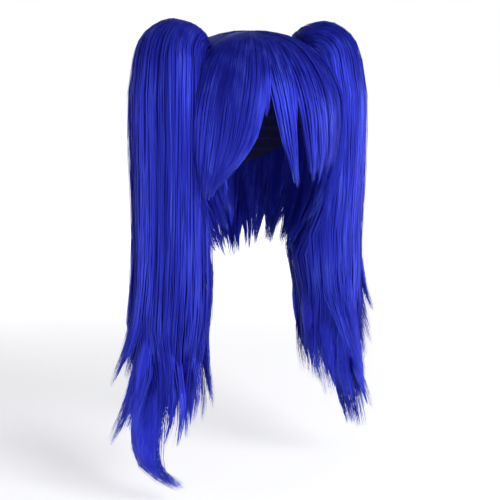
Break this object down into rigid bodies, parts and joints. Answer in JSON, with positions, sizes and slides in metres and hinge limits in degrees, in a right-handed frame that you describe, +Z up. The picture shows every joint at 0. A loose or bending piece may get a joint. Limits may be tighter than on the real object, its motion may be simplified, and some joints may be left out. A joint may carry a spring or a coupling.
{
  "type": "pigtail wig",
  "caption": "Royal blue costume wig with a split full fringe, short back hair and long high clip-on pigtails that taper into loose locks",
  "frame": {"origin": "the highest point of the inside of the cap, where the top of the wearer's head sits", "axes": "+Z up, the face looks along -Y, +X is the wearer's left"},
  "size_m": [0.3316, 0.2276, 0.5454],
  "materials": {
    "fibre": "glossy straight synthetic fibre",
    "net": "matt stretch net",
    "clip": "satin"
  },
  "bodies": {
    "root": {"wig_cap": "net", "crown_hair": "fibre", "fringe": "fibre", "side_lock_left": "fibre", "side_lock_right": "fibre", "nape_hair": "fibre", "clip_left": "clip", "clip_right": "clip", "pigtail_left": "fibre", "pigtail_right": "fibre"}
  },
  "joints": []
}
